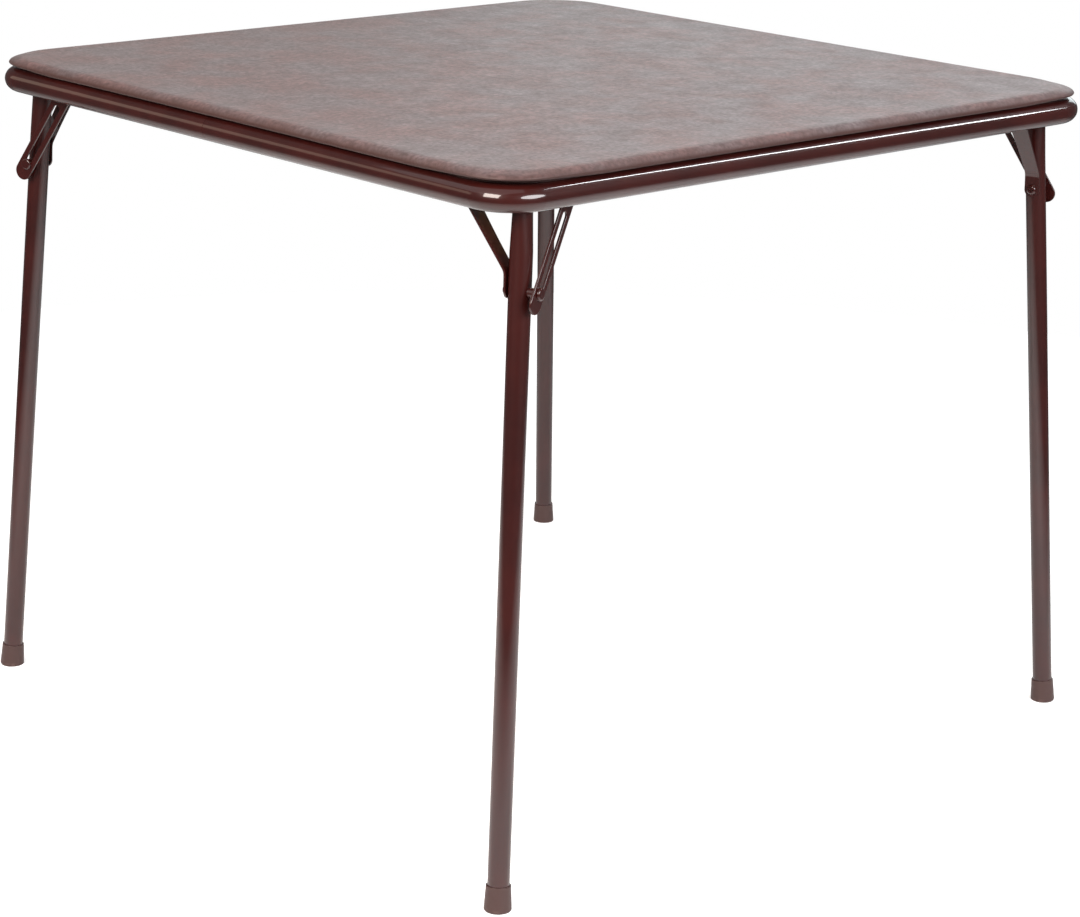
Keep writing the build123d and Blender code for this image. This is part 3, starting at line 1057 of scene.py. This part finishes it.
@dataclass
class Studio:
    """Floor, lamps, surroundings and camera of the photograph."""

    # Camera, fitted to the photograph: place in metres, angles in radians, lens in millimetres
    camera_place: Vector = field(default_factory=lambda: Vector((-2.0508, -2.2410, 1.1946)))
    camera_turn: float = 0.7450
    camera_tilt: float = 0.2961
    camera_roll: float = 0.0235
    lens: float = 94.107
    sensor: float = 36.0
    view_depth: float = 100
    # Softboxes beside the camera
    box_reach: float = 2.35
    near_corner: Vector = field(default_factory=lambda: Vector((-0.425, -0.425, 0.68)))
    # Strength of the surroundings, as light and in gloss
    surround_light: float = 0.25
    surround_gloss: float = 0.09
    backdrop_gloss: float = 0.45
    backdrop_facing: tuple[float, float] = (0.95, 1.0)
    # Floor: its glow to the camera and its paint, near and far
    floor_radius: float = 1.9
    floor_fade: float = 0.9
    floor_segments: int = 96
    floor_glow: tuple[float, float] = (0.5, 1.2)
    floor_paint: tuple[float, float] = (0.86, 0.05)

    def camera(self) -> None:
        """Set the camera where the photograph was taken from."""
        forward = Vector(
            (
                math.sin(self.camera_turn) * math.cos(self.camera_tilt),
                math.cos(self.camera_turn) * math.cos(self.camera_tilt),
                -math.sin(self.camera_tilt),
            )
        )
        level = Vector((math.cos(self.camera_turn), -math.sin(self.camera_turn), 0))
        rise = level.cross(forward)
        right = level * math.cos(self.camera_roll) + rise * math.sin(self.camera_roll)
        up = rise * math.cos(self.camera_roll) - level * math.sin(self.camera_roll)
        data = bpy.data.cameras.new("photo_camera")
        data.sensor_fit = "HORIZONTAL"
        data.sensor_width = self.sensor
        data.lens = self.lens
        data.clip_end = self.view_depth
        camera = bpy.data.objects.new("photo_camera", data)
        bpy.context.scene.collection.objects.link(camera)
        turn = Matrix((right, up, -forward)).transposed()
        camera.matrix_world = Matrix.Translation(self.camera_place) @ turn.to_4x4()
        bpy.context.scene.camera = camera

    def beside_camera(self, turn: float, rise: float) -> Vector:
        """Find a place round the near corner, as seen from above, from the camera's direction.

        Args:
            turn: Degrees from the camera's direction, anticlockwise.
            rise: Height above the near corner.

        Returns:
            The place.
        """
        away = self.camera_place - self.near_corner
        away.z = 0
        away.normalize()
        flat = Matrix.Rotation(math.radians(turn), 3, "Z") @ away
        return self.near_corner + flat * self.box_reach + Vector((0, 0, rise))

    def lamps(self) -> None:
        """Hang the softboxes round the table and one on each side of the camera."""
        left = Softbox(
            name="left_box",
            place=self.beside_camera(turn=-41, rise=1.2),
            target=self.near_corner,
            size=(1.6, 1.25),
            power=80,
            tint=(1.0, 0.90, 0.83),
        )
        right = Softbox(
            name="right_box",
            place=self.beside_camera(turn=51, rise=0.85),
            target=self.near_corner,
            size=(2.3, 1.15),
            power=66,
            tint=(1.0, 0.99, 1.0),
            outline=Outline.ELLIPSE,
        )
        for box in (*SOFTBOXES, left, right):
            box.hang()

    def surroundings(self) -> None:
        """Make soft light all round, white to the camera and dark in gloss but for the backdrop."""
        world = bpy.data.worlds.new("studio")
        bpy.context.scene.world = world
        world.use_nodes = True
        tree = world.node_tree
        tree.nodes.clear()
        path = add_node(tree, "ShaderNodeLightPath")
        seen = seen_plainly(tree, path)
        way = add_node(tree, "ShaderNodeTexCoord").outputs["Generated"]
        behind = (math.sin(self.camera_turn), math.cos(self.camera_turn), 0)
        facing = add_node(tree, "ShaderNodeVectorMath", {0: way, 1: behind}, operation="DOT_PRODUCT")
        edge, middle = self.backdrop_facing
        span = {0: facing.outputs["Value"], 1: edge, 2: middle}
        gloss = {3: self.surround_gloss, 4: self.backdrop_gloss}
        backdrop = add_node(tree, "ShaderNodeMapRange", {**span, **gloss}).outputs[0]
        light = {0: path.outputs["Is Glossy Ray"], 2: self.surround_light, 3: backdrop}
        level = add_node(tree, "ShaderNodeMix", light, data_type="FLOAT").outputs[0]
        strength = add_node(tree, "ShaderNodeMath", {0: seen, 1: level}, operation="MAXIMUM")
        sky = add_node(tree, "ShaderNodeBackground", {0: (1, 1, 1, 1), 1: strength.outputs[0]})
        add_node(tree, "ShaderNodeOutputWorld", {0: sky.outputs[0]})

    def floor(self) -> None:
        """Lay a pale floor that keeps the table's shadow and grows white to the camera further out.

        It glows only to the camera, its paint is dark far out, and it is clear from below.
        """
        shape = bmesh.new()
        bmesh.ops.create_circle(
            shape, cap_ends=True, segments=self.floor_segments, radius=self.floor_radius
        )
        piece = new_piece("studio_floor", shape, smooth=False)
        material = bpy.data.materials.new("white_sweep")
        material.use_nodes = True
        tree = material.node_tree
        tree.nodes.clear()
        seen = seen_plainly(tree, add_node(tree, "ShaderNodeLightPath"))
        place = add_node(tree, "ShaderNodeTexCoord").outputs["Object"]
        reach = add_node(tree, "ShaderNodeVectorMath", {0: place}, operation="LENGTH")
        span = {0: reach.outputs["Value"], 1: self.floor_fade, 2: self.floor_radius}
        near_glow, far_glow = self.floor_glow
        share = add_node(tree, "ShaderNodeMapRange", {**span, 3: near_glow, 4: far_glow}).outputs[0]
        lift = add_node(tree, "ShaderNodeMath", {0: seen, 1: share}, operation="MULTIPLY")
        near_paint, far_paint = self.floor_paint
        pale = add_node(tree, "ShaderNodeMapRange", {**span, 3: near_paint, 4: far_paint})
        matt = add_node(tree, "ShaderNodeBsdfDiffuse", {0: pale.outputs[0]})
        glow = add_node(tree, "ShaderNodeEmission", {0: (1, 1, 1, 1), 1: lift.outputs[0]})
        both = add_node(tree, "ShaderNodeAddShader", {0: matt.outputs[0], 1: glow.outputs[0]})
        below = add_node(tree, "ShaderNodeNewGeometry").outputs["Backfacing"]
        clear = add_node(tree, "ShaderNodeBsdfTransparent").outputs[0]
        sided = add_node(tree, "ShaderNodeMixShader", {0: below, 1: both.outputs[0], 2: clear})
        add_node(tree, "ShaderNodeOutputMaterial", {0: sided.outputs[0]})
        piece.data.materials.append(material)

    def build(self) -> None:
        """Set up the whole studio."""
        self.camera()
        self.lamps()
        self.surroundings()
        self.floor()
        bpy.context.scene.view_settings.view_transform = "Standard"
        log.info("studio is set")


def main() -> None:
    """Build the table's looks in order."""
    logging.basicConfig(level=logging.INFO)
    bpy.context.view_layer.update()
    Studio().build()
    wardrobe = Wardrobe()
    wardrobe.make()
    wardrobe.dress_nodes()
    for assembly in (PaddedTop(), HemStaples(), WeldBeads()):
        assembly.build(wardrobe)


if __name__ == "__main__":
    main()
